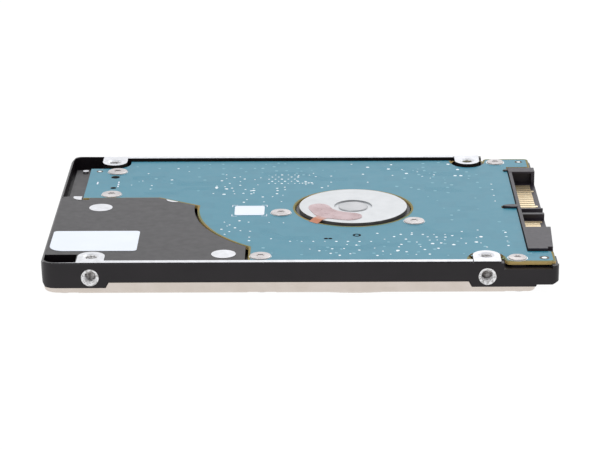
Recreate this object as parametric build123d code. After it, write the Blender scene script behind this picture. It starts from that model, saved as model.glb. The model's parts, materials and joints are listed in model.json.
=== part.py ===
from build123d import *
import os

# 2.5-inch hard disk drive, 7 mm high, lying on its cover with the circuit board on top.
# Millimetres. Origin: middle of the footprint, at the lowest face (the product label).
# +X points out of the connector, +Z points away from the cover.

# ---------------------------------------------------------------- driving dimensions

LENGTH = 100.2
WIDTH = 69.85
HEIGHT = 7.0

HALF_WIDTH = WIDTH / 2
FRONT_X = LENGTH / 2                     # connector end
BACK_X = -LENGTH / 2
CAST_FRONT_X = FRONT_X - 0.15            # end of the casting's two corner posts
OVER = 2.0                               # how far a cutting tool runs past a face

# Standard screw holes
HOLE_FRONT_X = FRONT_X - 14.0
HOLE_BACK_X = HOLE_FRONT_X - 76.6
HOLE_Y = 61.72 / 2
HOLE_R = 1.25
HOLE_DEPTH = 1.8
SIDE_HOLE_Z = HEIGHT - 3.0
SIDE_HOLE_DEPTH = 2.5
SIDE_SINK_R = 1.7
SIDE_SINK_DEPTH = 0.35
TOP_SINK_R = 1.55
TOP_SINK_DEPTH = 0.2
PAD_R = 2.65

# Heights of the stack, from the label up
LABEL_TOP = 0.1
COVER_INNER = 0.5                        # inner face of the raised plateau
FLANGE_BOTTOM = 0.75
FLANGE_TOP = 1.15
CAST_BOTTOM = 1.25
SKIRT_SHORT_TOP = 1.9
SKIRT_TALL_TOP = 3.0
CAVITY_TOP = 4.15
WELL_TOP = 4.95                          # outer face of the floor under the circuit board
LEDGE_TOP = 5.45
STUB_TOP = 6.1                           # low stub at the board side's front corner
STUB_BACK_X = 48.6
BACK_DRAFT = 0.25                        # how far the back face leans in towards the cover
BOARD_BOTTOM = 5.8
POCKET_TOP = 6.0                         # inner face over the voice coil motor
BOARD_TOP = 6.5
BULGE_TOP = 6.7
LABEL_THICK = 0.06

# Rails and end walls
RAIL_INNER_Y = 33.35
RAIL_BACK_X = -38.1
RAIL_FRONT_X = 33.3
RIM = 0.5
EDGE_CHAMFER = 0.3
BACK_CORNER_R = 3.0
COVER_BACK_GAP = 0.45
COVER_FRONT_X = 45.4
COVER_CORNER_R = 1.6
FRONT_CORNER_R = 1.4
POCKET_FLOOR = 4.3
TROUGH_FLOOR = 5.3
SPOT_RISE = 0.04                         # machined spots stand just proud of the bulge
MACHINED_SPOTS = [(-41.1, 0.0, 2.4), (-14.9, -29.0, 2.4), (-26.0, 5.35, 1.9), (-45.7, 6.9, 1.7)]
LOCATING_STUD = (-46.7, 28.6)

# Where the cover's skirt reaches furthest up the sides
SKIRT_BACK_X = -36.9
SKIRT_FRONT_X = 32.5
SKIRT_SLOPE = 0.6
SHEET = 0.4

# Spindle and platter
SPINDLE = (10.8, 0.0)
CAVITY_R = 32.9
PLATTER_R = 32.5
PLATTER_BORE_R = 10.0
PLATTER_BOTTOM = 1.9
PLATTER_TOP = 2.7
MOTOR_R = 11.05
MOTOR_TOP = 6.9
COLLAR_TOP = 6.2
COLLAR_R = 11.7
MOTOR_BORE_R = 10.55
BOARD_HOLE_R = 11.95
FLEX_EXIT = 229.0                        # direction in which the motor's flex leaves the disc

# Actuator
PIVOT = (-27.0, -8.0)
PARK_ANGLE = 69.0                        # direction of the arm when the heads are parked
COIL_ANGLE = PARK_ANGLE + 180.0
ARM_BOTTOM = 0.95
ARM_TOP = 3.65
ARM_PLATE = 0.45
COIL_BOTTOM = 2.45
COIL_TOP = 3.35
YOKE_START = 184.0
YOKE_END = 282.0
YOKE_R = (8.5, 20.5)
MAGNET_START = 198.0
MAGNET_END = 264.0
MAGNET_R = (9.5, 18.7)
LATCH_PIN = (-21.5, -26.6)
BREATHER = (37.4, 24.4)
RECIRCULATION = (-13.4, -24.2)

# Circuit board
BOARD_FRONT_X = 44.3                     # edge beside the connector
TAB_FRONT_X = 49.4
BOARD_Y = 32.4
TAB_Y = 33.3
BOARD_BACK_X = -45.35
BOARD_SCREWS = [
    (-39.5, 25.0),
    (-39.6, 9.2),
    (-4.0, -3.3),
    (23.0, -8.9),
    (-7.7, -29.9),
    (42.2, 30.9),
    (42.1, -31.3),
]
COVER_SCREWS = [(x, side * 32.0) for x in (-45.6, -7.4, 42.3) for side in (-1, 1)]
TAP_R = 0.8
HEAD_R = 2.1
CORNER_HEAD_R = 1.8

# SATA connector
PLUG_BACK_X = 44.5
PLUG_FRONT_X = FRONT_X
PLUG_WALL = 0.65
TONGUE_BOTTOM = 2.8
TONGUE_TOP = 4.0
TONGUE_TIP_X = FRONT_X
PITCH = 1.27
POWER_FIRST_Y = 3.9
SIGNAL_FIRST_Y = -10.05
LONG_CONTACT = 4.1
SHORT_CONTACT = 3.6
CONTACT_WIDTH = 0.9


# ---------------------------------------------------------------- shape helpers


def raised(face, bottom, top):
    """A flat face extruded between two heights."""
    return extrude(Pos(0, 0, bottom) * face, amount=top - bottom, dir=(0, 0, 1))


def box(x0, x1, y0, y1, z0, z1):
    """A box given by its limits on each axis."""
    middle = Pos((x0 + x1) / 2, (y0 + y1) / 2, (z0 + z1) / 2)
    return middle * Box(x1 - x0, y1 - y0, z1 - z0)


def rounded(x0, x1, y0, y1, radius):
    """A rectangle with round corners, given by its limits."""
    return Pos((x0 + x1) / 2, (y0 + y1) / 2) * RectangleRounded(x1 - x0, y1 - y0, radius)


def disc(centre, radius, bottom, top):
    """An upright cylinder between two heights."""
    return raised(Pos(*centre) * Circle(radius), bottom, top)


def ring(centre, inner, outer, bottom, top):
    """An upright tube between two heights."""
    return raised(Pos(*centre) * (Circle(outer) - Circle(inner)), bottom, top)


def sector(centre, radii, start, end, bottom, top):
    """Part of a tube about a centre, between two directions in degrees."""
    inner = CenterArc(centre, radii[0], start, end - start)
    outer = CenterArc(centre, radii[1], start, end - start)
    sides = [Line(inner @ 0, outer @ 0), Line(inner @ 1, outer @ 1)]
    return raised(make_face([inner, outer] + sides), bottom, top)


def outline(*points):
    """A flat face with straight sides, facing up whichever way its corners are listed."""
    after = points[1:] + points[:1]
    turning = sum(a[0] * b[1] - b[0] * a[1] for a, b in zip(points, after))
    ordered = points if turning > 0 else points[::-1]
    return Polygon(*ordered, align=None)


def prism(points, bottom, top):
    """A straight-sided outline extruded between two heights."""
    return raised(outline(*points), bottom, top)


def prism_along_x(points, x0, x1):
    """An outline in Y and Z, extruded along X."""
    plane = Plane(origin=(x0, 0, 0), x_dir=(0, 1, 0), z_dir=(1, 0, 0))
    return extrude(plane * outline(*points), amount=x1 - x0)


def prism_along_y(points, y0, y1):
    """An outline in X and Z, extruded along Y."""
    plane = Plane(origin=(0, y1, 0), x_dir=(1, 0, 0), z_dir=(0, -1, 0))
    return extrude(plane * outline(*points), amount=y1 - y0)


def joined(shapes):
    """All the shapes fused into one."""
    whole = shapes[0]
    for shape in shapes[1:]:
        whole = whole + shape
    return whole


def group(shapes):
    """Separate solids kept side by side in one node."""
    return Compound(children=[solid for shape in shapes for solid in shape.solids()])


def polar(centre, radius, angle):
    """The point at a distance and a direction from a centre."""
    point = Vector(*centre) + Vector(radius, 0).rotate(Axis.Z, angle)
    return (point.X, point.Y)


def at_pivot(shape, angle):
    """A shape drawn along +X from the pivot, turned to a direction."""
    return Pos(*PIVOT) * Rot(0, 0, angle) * shape


RAMP_SCREW = polar(PIVOT, 36.6, 72.5)


# ---------------------------------------------------------------- base casting


def casting_plan(inset):
    """The casting's plan, with rounder corners at the back than at the connector end."""
    edge = HALF_WIDTH - inset
    back = rounded(BACK_X + inset, 20, -edge, edge, BACK_CORNER_R - inset)
    front = rounded(-20, CAST_FRONT_X - inset, -edge, edge, FRONT_CORNER_R - inset)
    return back + front


def cover_outline(inset):
    """The cover's plan, which stops short of the connector end."""
    edge = HALF_WIDTH - inset
    back = rounded(BACK_X + COVER_BACK_GAP + inset, 20, -edge, edge, max(BACK_CORNER_R - inset, 1.2))
    front = rounded(-20, COVER_FRONT_X - inset, -edge, edge, COVER_CORNER_R - inset)
    return back + front


def skirt_profile(gap):
    """Side view of the cover's tall skirt, with sloping ends, grown by a gap all round."""
    foot = SKIRT_SLOPE + gap
    return [
        (SKIRT_BACK_X - foot, FLANGE_TOP),
        (SKIRT_BACK_X - foot, SKIRT_SHORT_TOP),
        (SKIRT_BACK_X - gap, SKIRT_TALL_TOP + gap),
        (SKIRT_FRONT_X + gap, SKIRT_TALL_TOP + gap),
        (SKIRT_FRONT_X + foot, SKIRT_SHORT_TOP),
        (SKIRT_FRONT_X + foot, FLANGE_TOP),
    ]


def corner_post(x, side):
    """A D-shaped screw post: round towards the middle, open to the side face."""
    y = side * HOLE_Y
    edge = side * HALF_WIDTH
    post = Pos(x, y) * Circle(PAD_R)
    low, high = min(y, edge), max(y, edge)
    return post + Pos(x, (low + high) / 2) * Rectangle(2 * PAD_R, high - low)


def board_recess():
    """Plan of the sunken area that holds the circuit board."""
    main = rounded(-10.7, PLUG_BACK_X, -RAIL_INNER_Y, RAIL_INNER_Y, 0.05)
    rear = rounded(-45.6, 0, 6.45, RAIL_INNER_Y, 0.8) + rounded(-45.6, -44.0, 5.2, 9, 0.3)
    slope = outline((-29.7, 6.5), (-21.6, 1.2), (-9, -5), (-9, 20), (-29.7, 20))
    around_disc = Pos(*SPINDLE) * Circle(32.6)
    around_disc = around_disc & (Pos(0, -12) * Rectangle(48, 36))
    return main + rear + slope + around_disc


def casting_top(body):
    """Everything cut from the circuit board side."""
    keep = [corner_post(x, side) for x in (HOLE_BACK_X, HOLE_FRONT_X) for side in (-1, 1)]
    for side in (-1, 1):
        y = side * (RAIL_INNER_Y + HALF_WIDTH) / 2
        rail = Rectangle(RAIL_FRONT_X - RAIL_BACK_X, HALF_WIDTH - RAIL_INNER_Y)
        keep.append(Pos((RAIL_BACK_X + RAIL_FRONT_X) / 2, y) * rail)
    rim = casting_plan(0) - casting_plan(RIM)
    keep.append(rim & (Pos(-46.4, 20.9) * Rectangle(7.5, 28.2)))
    keep.append(rim & (Pos(-46.4, -31.6) * Rectangle(7.5, 6.8)))
    whole = Rectangle(LENGTH + OVER, WIDTH + OVER)
    body -= raised(whole - joined(keep), BULGE_TOP, HEIGHT + OVER)
    for x, y, radius in MACHINED_SPOTS:
        body += disc((x, y), radius, BULGE_TOP - 0.1, BULGE_TOP + SPOT_RISE)

    sunk = board_recess() - joined(keep[:4])
    sunk -= Pos(44.2, 31.5) * Rectangle(9.8, 7)
    sunk -= Pos(44.2, -31.5) * Rectangle(9.8, 7)
    body -= raised(sunk, WELL_TOP, HEIGHT + OVER)

    body -= box(STUB_BACK_X, FRONT_X, -HALF_WIDTH, -27.4, STUB_TOP, HEIGHT + OVER)
    for side, end in ((-1, STUB_BACK_X), (1, FRONT_X)):
        ledge = Pos((39.3 + end) / 2, side * 31.2) * Rectangle(end - 39.3, 7.6)
        ledge -= corner_post(HOLE_FRONT_X, side)
        body -= raised(ledge, LEDGE_TOP, HEIGHT + OVER)
        tab_seat = Pos(46.0, side * 30.2) * Rectangle(8.0, 6.6)
        body -= raised(tab_seat, LEDGE_TOP, HEIGHT + OVER)
        slope = [
            (side * (HALF_WIDTH - EDGE_CHAMFER), HEIGHT),
            (side * (HALF_WIDTH + 0.2), HEIGHT - EDGE_CHAMFER - 0.2),
            (side * (HALF_WIDTH + 0.2), HEIGHT),
        ]
        body -= prism_along_x(slope, BACK_X - OVER, FRONT_X + OVER)
    back_slope = [(BACK_X + 0.75, HEIGHT + 0.01), (BACK_X - 0.1, 6.35), (BACK_X - 0.1, HEIGHT + 0.01)]
    return body - prism_along_y(back_slope, -HALF_WIDTH - OVER, HALF_WIDTH + OVER)


def casting_pockets(body):
    """The two deep pockets, the shallow trough and the narrow channel at the back end."""
    inside = casting_plan(RIM)
    front_pocket = inside & (Pos(-46.9, -32.0) * Rectangle(7.0, 6.0))
    front_pocket -= Pos(HOLE_BACK_X, -HOLE_Y) * Circle(PAD_R + 0.25)
    back_pocket = inside & (Pos(-46.9, 33.2) * Rectangle(7.0, 6.0))
    back_pocket -= Pos(HOLE_BACK_X, HOLE_Y) * Circle(PAD_R + 0.25)
    channel = inside & (Pos(-49.4, 20.4) * Rectangle(1.4, 26.0))
    body -= raised(front_pocket + back_pocket + channel, POCKET_FLOOR, HEIGHT + OVER)
    trough = rounded(-48.75, -45.0, 7.5, 30.3, 0.3)
    body -= raised(trough, TROUGH_FLOOR, HEIGHT + OVER)
    return body + disc(LOCATING_STUD, 0.65, TROUGH_FLOOR - 0.2, TROUGH_FLOOR + 0.35)


def casting_cavity(body):
    """The sealed space that holds the platter, the arm and the voice coil motor."""
    body -= disc(SPINDLE, CAVITY_R, 0, CAVITY_TOP)
    bay = [(-46.6, -8), (-20.5, -15.5), (-14, -10), (-14, 0), (-5.6, 28.4), (-38, 28.4)]
    body -= prism(bay + [(-46.6, 21)], 0, CAVITY_TOP)
    body -= disc(PIVOT, 6.8, 0, CAVITY_TOP)
    body -= disc(PIVOT, 4.6, 0, POCKET_TOP)
    body -= sector(PIVOT, (4.0, 21.2), YOKE_START - 3, YOKE_END + 3, 0, POCKET_TOP)
    body -= disc(LATCH_PIN, 4.4, 0, CAVITY_TOP)
    body -= disc((-27.0, -27.3), 4.2, 0, CAVITY_TOP)
    body -= disc(BREATHER, 3.4, 0, 4.0)
    body -= Pos(*RECIRCULATION) * Rot(0, 0, 45) * Pos(0, 0, 1.75) * Box(3.4, 10, 4.2)
    body -= disc(SPINDLE, MOTOR_BORE_R, 0, HEIGHT + OVER)
    return body - box(-41.9, -37.3, 12.4, 22.7, 0, WELL_TOP)


def casting_holes(body):
    """Threaded holes for mounting the drive and for its own screws."""
    for x in (HOLE_BACK_X, HOLE_FRONT_X):
        for side in (-1, 1):
            body -= disc((x, side * HOLE_Y), HOLE_R, HEIGHT - HOLE_DEPTH, HEIGHT + OVER)
            top_sink = Cone(HOLE_R, TOP_SINK_R, TOP_SINK_DEPTH)
            body -= Pos(x, side * HOLE_Y, HEIGHT - TOP_SINK_DEPTH / 2) * top_sink
            mouth = Plane(origin=(x, side * HALF_WIDTH, SIDE_HOLE_Z), z_dir=(0, -side, 0))
            body -= extrude(mouth * Circle(HOLE_R), amount=SIDE_HOLE_DEPTH)
            sink = Pos(0, 0, SIDE_SINK_DEPTH / 2) * Cone(SIDE_SINK_R, HOLE_R, SIDE_SINK_DEPTH)
            body -= mouth.location * sink
    for x, y in COVER_SCREWS:
        body -= disc((x, y), TAP_R, 0, 3.4)
    for x, y in BOARD_SCREWS:
        body -= disc((x, y), TAP_R, 4.5, HEIGHT + OVER)
    body -= disc(PIVOT, 1.0, 0, 6.4)
    body -= disc(LATCH_PIN, 0.6, 0, CAVITY_TOP + 0.8)
    return body - disc(RAMP_SCREW, TAP_R, 0, CAVITY_TOP + 0.5)


def base_casting():
    """The die-cast base that everything else is fastened to."""
    body = raised(casting_plan(0), CAST_BOTTOM, HEIGHT)
    lower_rim = Rectangle(LENGTH + OVER, WIDTH + OVER) - cover_outline(0.5)
    body -= raised(lower_rim, 0, SKIRT_SHORT_TOP)
    for side in (-1, 1):
        y0, y1 = sorted((side * (HALF_WIDTH - 0.5), side * (HALF_WIDTH + OVER)))
        body -= prism_along_y(skirt_profile(0.1), y0, y1)
    toe = [(44.6, 0), (44.6, SKIRT_SHORT_TOP), (45.45, SKIRT_SHORT_TOP), (45.65, 2.3)]
    toe += [(STUB_BACK_X, 2.3), (FRONT_X, 2.95), (52, 2.95), (52, 0)]
    heel = [(BACK_X + 0.85, 0), (BACK_X + 0.85, 1.85), (BACK_X + BACK_DRAFT, 2.6), (BACK_X, 6.0)]
    heel += [(BACK_X - 0.1, 6.0), (BACK_X - 0.1, 0)]
    for profile in (toe, heel):
        body -= prism_along_y(profile, -HALF_WIDTH - OVER, HALF_WIDTH + OVER)
    body = casting_top(body)
    body = casting_pockets(body)
    body += ring(SPINDLE, MOTOR_BORE_R, COLLAR_R, WELL_TOP, COLLAR_TOP)
    for x, y in BOARD_SCREWS:
        foot = LEDGE_TOP if x > 40 else WELL_TOP
        body += disc((x, y), 2.3, foot - 0.2, BOARD_BOTTOM)
    body = casting_cavity(body)
    body -= box(PLUG_BACK_X - 0.05, FRONT_X + OVER, -27.3, 27.3, 0, HEIGHT + OVER)
    return casting_holes(body)


# ---------------------------------------------------------------- cover


def plateau(inset):
    """Plan of the raised middle of the cover."""
    round_part = Pos(*SPINDLE) * Circle(33.4 - inset)
    square_part = rounded(-47.9 + inset, 2, -29.0 + inset, 29.0 - inset, 4 - inset)
    return round_part + square_part


def top_cover():
    """Stamped steel lid: flange, raised plateau and a skirt that laps over the casting."""
    body = raised(cover_outline(0), FLANGE_BOTTOM, SKIRT_SHORT_TOP)
    body = fillet(body.faces().sort_by(Axis.Z)[0].edges(), 0.6)
    body -= raised(cover_outline(0.5), FLANGE_TOP, HEIGHT)
    for side in (-1, 1):
        y0, y1 = sorted((side * (HALF_WIDTH - 0.5), side * HALF_WIDTH))
        body += prism_along_y(skirt_profile(0), y0, y1)
    body -= box(44.85, 50, -30.4, 30.4, FLANGE_TOP, HEIGHT)
    raised_part = raised(plateau(0), LABEL_TOP, FLANGE_BOTTOM)
    body += fillet(raised_part.faces().sort_by(Axis.Z)[0].edges(), 0.3)
    body -= raised(plateau(SHEET), COVER_INNER, FLANGE_TOP)
    outside_plateau = cover_outline(-1) - plateau(0)
    for x, y in COVER_SCREWS:
        dimple = Pos(x, y) * Circle(3.9) & outside_plateau
        body -= raised(dimple, 0, FLANGE_BOTTOM + 0.2)
        body -= disc((x, y), 1.0, 0, HEIGHT)
    return body


def cover_gasket():
    """Thin seal between the cover's flange and the casting."""
    plan = cover_outline(0.9) - plateau(0.2)
    plan -= Pos(60, 0) * Rectangle(31.2, WIDTH)
    for x, y in COVER_SCREWS:
        plan -= Pos(x, y) * Circle(1.0)
    return raised(plan, FLANGE_TOP, CAST_BOTTOM)


def torx_screw(centre, head_r, shank_r, head_top, head_height, tip):
    """A low round-edged screw whose head points up, with a six-lobed socket."""
    seat = head_top - head_height
    head = disc(centre, head_r, seat, head_top)
    head = fillet(head.faces().sort_by(Axis.Z)[-1].edges(), head_height * 0.6)
    lobe_r = head_r * 0.1
    socket = Circle(head_r * 0.28)
    for lobe in range(6):
        socket += Rot(0, 0, 60 * lobe) * Pos(head_r * 0.28, 0) * Circle(lobe_r)
    head -= raised(Pos(*centre) * socket, head_top - head_height * 0.4, head_top)
    return head + disc(centre, shank_r, tip, seat)


def cover_screws():
    """Six screws, heads down, that hold the cover."""
    screws = []
    for x, y in COVER_SCREWS:
        upright = torx_screw((0, 0), 1.9, TAP_R, 0, 0.5, -2.9)
        screws.append(Pos(x, y, FLANGE_BOTTOM - 0.3) * Rot(180, 0, 0) * upright)
    return group(screws)


def product_label():
    """Blank label on the cover, the face that the drive rests on."""
    return raised(rounded(-44, 36, -26, 26, 3), 0, LABEL_TOP)


def serial_label():
    """Blank label on the casting over the voice coil motor."""
    plan = rounded(-49.2, -32.0, -27.0, -15.0, 0.8)
    one_round_corner = rounded(-49.2, -20.0, -27.0, 0.0, 3.0)
    return raised(plan & one_round_corner, BULGE_TOP, BULGE_TOP + LABEL_THICK)


# ---------------------------------------------------------------- circuit board


def board_plan():
    """The circuit board's outline, around the motor, the posts and the casting's bulge."""
    main = outline(
        (-10.1, -BOARD_Y),
        (32.5, -BOARD_Y),
        (BOARD_FRONT_X, -BOARD_Y),
        (BOARD_FRONT_X, BOARD_Y),
        (-37.0, BOARD_Y),
        (-37.0, HOLE_Y),
        (-40.5, HOLE_Y),
        (-40.5, 27.4),
        (BOARD_BACK_X, 27.4),
        (BOARD_BACK_X, 6.75),
        (-29.4, 6.75),
        (-21.1, 1.5),
        (-10.1, -24.0),
    )
    arc_side = Pos(*SPINDLE) * Circle(32.0)
    arc_side &= outline((-21.3, 1.5), (-21.3, -8), (-14, -24), (-10.1, -24.3), (-9, 0))
    plan = main + arc_side
    for side in (-1, 1):
        y0, y1 = sorted((side * 27.5, side * TAB_Y))
        plan += rounded(39.7, TAB_FRONT_X, y0, y1, 0.9)
        cut = Pos(HOLE_FRONT_X, side * HOLE_Y) * Circle(3.5)
        cut += Pos(HOLE_FRONT_X, side * (HOLE_Y + 3)) * Rectangle(7.0, 6)
        plan -= cut
    plan -= Pos(HOLE_BACK_X, HOLE_Y) * Circle(3.5)
    plan -= Pos(*SPINDLE) * Circle(BOARD_HOLE_R)
    plan -= rounded(41.3, 46, -0.95, 0.95, 0.7)
    plan -= rounded(43.4, 46, 24.2, 25.5, 0.5)
    return plan


def circuit_board():
    """The bare board with its screw holes, connector slot and alignment holes."""
    plan = board_plan()
    for x, y in BOARD_SCREWS:
        plan -= Pos(x, y) * Circle(1.1)
    for side in (-1, 1):
        plan -= Pos(47.3, side * 31.2) * Circle(0.5)
    plan -= Pos(-39.7, 21.3) * Circle(0.95)
    plan -= Pos(-39.6, 13.8) * Circle(0.65)
    plan -= Pos(-43.4, 25.5) * Circle(0.35)
    return raised(plan, BOARD_BOTTOM, BOARD_TOP)


def board_screws():
    """Seven screws that hold the board to the casting."""
    screws = []
    for place in BOARD_SCREWS:
        head_r = CORNER_HEAD_R if place[0] > 40 else HEAD_R
        screws.append(torx_screw(place, head_r, TAP_R, BOARD_TOP + 0.27, 0.27, 4.55))
    return group(screws)


def board_label():
    """Small blank label on the board."""
    return raised(rounded(-13.5, -7.4, -4.7, 1.3, 0.7), BOARD_TOP, BOARD_TOP + LABEL_THICK)


def chip(x, y, length, width, thickness):
    """A chip hanging under the board, with a bevelled lower edge."""
    body = Pos(x, y, BOARD_BOTTOM - thickness / 2) * Box(length, width, thickness)
    return chamfer(body.faces().sort_by(Axis.Z)[0].edges(), 0.08)


def board_capacitors():
    """Small parts soldered under the board."""
    places = [(28 + 2.2 * i, 24.6) for i in range(3)]
    places += [(-6 + 2.4 * i, 21.5) for i in range(5)]
    places += [(24 + 2.4 * i, -24.5) for i in range(5)]
    places += [(-18, 12 + 2.4 * i) for i in range(4)]
    return group([chip(x, y, 1.6, 0.9, 0.65) for x, y in places])


def insulator_sheet():
    """Thin foam sheet between the board's parts and the casting."""
    plan = rounded(-35, 38, 13.2, 29.5, 1) + rounded(-7, 38, -27.0, -13.2, 1)
    plan += rounded(25.5, 38, -20, 20, 1)
    plan -= Pos(*SPINDLE) * Circle(12.4)
    for x, y in BOARD_SCREWS:
        plan -= Pos(x, y) * Circle(2.8)
    for x in (HOLE_BACK_X, HOLE_FRONT_X):
        for side in (-1, 1):
            plan -= Pos(x, side * HOLE_Y) * Circle(3.2)
    return raised(plan, WELL_TOP, WELL_TOP + 0.1)


# ---------------------------------------------------------------- SATA connector


def contact(y, length):
    """One contact: a blade on the tongue, a riser in the back wall and a solder tail under the board."""
    low, high = y - CONTACT_WIDTH / 2, y + CONTACT_WIDTH / 2
    blade = box(44.8, 45.4 + length, low, high, TONGUE_TOP, TONGUE_TOP + 0.08)
    riser = box(44.8, 45.0, low, high, TONGUE_TOP, BOARD_BOTTOM - 0.1)
    tail = box(42.6, 45.0, low, high, BOARD_BOTTOM - 0.15, BOARD_BOTTOM)
    return blade + riser + tail


def contact_row(first_y, count, long_ones):
    """A row of contacts; the ground ones reach further out."""
    return group([
        contact(first_y + PITCH * i, LONG_CONTACT if i in long_ones else SHORT_CONTACT)
        for i in range(count)
    ])


def power_contacts():
    """Fifteen power contacts."""
    return contact_row(POWER_FIRST_Y, 15, (3, 11))


def signal_contacts():
    """Seven signal contacts."""
    return contact_row(SIGNAL_FIRST_Y, 7, (0, 3, 6))


def sata_connector():
    """Plastic body: a back wall, two L-shaped tongues, a hollow guide and a solid end block."""
    wall_x = PLUG_BACK_X + PLUG_WALL
    wall = box(PLUG_BACK_X, wall_x, -27.0, 25.8, 2.0, 6.85)
    guide = box(PLUG_BACK_X, PLUG_FRONT_X, 22.9, 25.8, 2.0, 6.9)
    guide -= box(wall_x, PLUG_FRONT_X - 0.7, 22.0, 24.4, TONGUE_TOP, 6.5)
    tapered = [(PLUG_BACK_X, -13.9), (PLUG_BACK_X, -27.0), (49.4, -27.0), (PLUG_FRONT_X, -13.9)]
    block = prism(tapered, 2.0, 6.95) - box(48.4, FRONT_X + OVER, -28, -26.0, 6.3, HEIGHT)
    power = box(wall_x, TONGUE_TIP_X, 2.7, 22.9, TONGUE_BOTTOM, TONGUE_TOP)
    power += box(wall_x, TONGUE_TIP_X, 2.7, 3.3, TONGUE_TOP, 5.2)
    signal = box(wall_x, TONGUE_TIP_X, -11.0, 0.3, TONGUE_BOTTOM, TONGUE_TOP)
    signal += box(wall_x, TONGUE_TIP_X, -0.8, 0.3, TONGUE_TOP, 5.2)
    edge = [(41.6, 0.1), (42.3, 0.55), (43.3, 0.8), (PLUG_BACK_X + 0.2, 0.8)]
    peg = prism(edge + [(x, -y) for x, y in edge[::-1]], BOARD_BOTTOM + 0.05, 6.9)
    small_peg = box(43.6, PLUG_BACK_X + 0.2, 24.45, 25.25, BOARD_BOTTOM + 0.05, 6.75)
    body = joined([wall, guide, block, power, signal, peg, small_peg])
    return body - power_contacts() - signal_contacts()


# ---------------------------------------------------------------- spindle motor


def motor_base():
    """Machined disc that closes the motor from outside, with a cup and a boss inside."""
    body = disc(SPINDLE, MOTOR_R, COLLAR_TOP, MOTOR_TOP)
    body += ring(SPINDLE, 9.9, MOTOR_BORE_R, 3.9, COLLAR_TOP)
    body += disc(SPINDLE, 4.4, 4.3, COLLAR_TOP)
    body -= ring(SPINDLE, 3.0, 3.9, MOTOR_TOP - 0.3, MOTOR_TOP)
    body -= disc(SPINDLE, 3.5, 0, 6.4)
    return body - disc(SPINDLE, 3.0, 0, HEIGHT)


def bearing_cap():
    """Round plate that closes the bearing."""
    body = disc(SPINDLE, 3.0, 6.45, MOTOR_TOP - 0.04)
    return chamfer(body.faces().sort_by(Axis.Z)[-1].edges(), 0.14)


def bearing_sleeve():
    """Fluid bearing sleeve that the shaft runs in."""
    return ring(SPINDLE, 1.54, 3.5, 3.7, 6.4)


def stator_core():
    """Steel ring with nine teeth."""
    plan = Circle(5.1) - Circle(4.4)
    for tooth in range(9):
        bar = Pos(6.0, 0) * Rectangle(2.0, 0.8)
        shoe = Pos(6.95, 0) * Rectangle(0.4, 2.6)
        plan += Rot(0, 0, 40 * tooth) * (bar + shoe)
    return raised(Pos(*SPINDLE) * plan, 4.5, 5.1)


def stator_coils():
    """One copper winding around each tooth."""
    winding = box(5.3, 6.6, -1.0, 1.0, 4.25, 5.35)
    winding -= box(5, 7, -0.42, 0.42, 4.48, 5.12)
    return group([Pos(*SPINDLE) * Rot(0, 0, 40 * tooth) * winding for tooth in range(9)])


def flex_tail():
    """The flex's end, stepping down from the motor base to the board."""
    film = 0.06
    lower = [(10.3, MOTOR_TOP), (11.1, MOTOR_TOP), (12.3, BOARD_TOP), (12.6, BOARD_TOP)]
    upper = [(12.6, BOARD_TOP + film), (12.35, BOARD_TOP + film), (11.15, MOTOR_TOP + film)]
    upper.append((10.3, MOTOR_TOP + film))
    strip = prism_along_y(lower + upper, -1.15, 1.15)
    return Pos(*SPINDLE) * Rot(0, 0, FLEX_EXIT) * strip


def motor_flex():
    """Thin printed strip, bent like a boomerang, glued over the motor's winding outlets."""
    edge = [
        (1.7, -6.7), (1.0, -5.2), (-0.8, -4.4), (-2.8, -3.5), (-4.3, -1.9), (-5.0, 0.1),
        (-6.2, 1.2), (-7.8, 1.2), (-8.9, 0.2), (-9.1, -1.8), (-8.4, -4.2), (-7.6, -6.2),
        (-5.6, -7.8), (-3.2, -8.7), (-0.8, -9.2), (1.0, -8.4),
    ]
    strip = make_face(Spline(*edge, periodic=True))
    root = Rot(0, 0, FLEX_EXIT) * Pos(9.2, 0) * Rectangle(2.4, 2.3)
    plan = Pos(*SPINDLE) * (strip + root)
    return raised(plan, MOTOR_TOP, MOTOR_TOP + 0.06) + flex_tail()


# ---------------------------------------------------------------- spinning parts


def spindle_shaft():
    """Hardened shaft pressed into the hub."""
    return disc(SPINDLE, 1.5, 1.5, 6.35)


def spindle_hub():
    """Hub: boss through the platter, seat flange under it and skirt around the magnet."""
    body = disc(SPINDLE, PLATTER_BORE_R - 0.03, 1.5, PLATTER_TOP)
    body += disc(SPINDLE, 12.2, PLATTER_TOP, 3.3)
    body += ring(SPINDLE, 8.6, 9.5, 3.3, 5.6)
    body -= disc(SPINDLE, 1.5, 0, 4)
    for turn in range(4):
        body -= disc(polar(SPINDLE, 5.5, 45 + 90 * turn), 0.7, 0, 2.9)
    return body


def rotor_magnet():
    """Ring magnet inside the hub's skirt."""
    return ring(SPINDLE, 7.6, 8.6, 3.9, 5.6)


def platter():
    """Glass disc with a bevelled rim."""
    body = ring(SPINDLE, PLATTER_BORE_R, PLATTER_R, PLATTER_BOTTOM, PLATTER_TOP)
    return chamfer(body.edges().filter_by(GeomType.CIRCLE), 0.1)


def disc_clamp():
    """Sprung plate that presses the platter onto its seat."""
    body = disc(SPINDLE, 11.6, 1.1, 1.5) + ring(SPINDLE, 10.3, 11.6, 1.5, PLATTER_BOTTOM)
    body -= disc(SPINDLE, 2.2, 0, 2)
    for turn in range(4):
        body -= disc(polar(SPINDLE, 5.5, 45 + 90 * turn), 0.8, 0, 2)
        body -= disc(polar(SPINDLE, 7.5, 90 * turn), 1.0, 0, 2)
    return body


def clamp_screws():
    """Four screws, heads down, through the clamp into the hub."""
    screws = []
    for turn in range(4):
        x, y = polar(SPINDLE, 5.5, 45 + 90 * turn)
        screws.append(Pos(x, y, 0.8) * Rot(180, 0, 0) * torx_screw((0, 0), 1.3, 0.7, 0, 0.3, -2.0))
    return group(screws)


# ---------------------------------------------------------------- actuator


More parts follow.
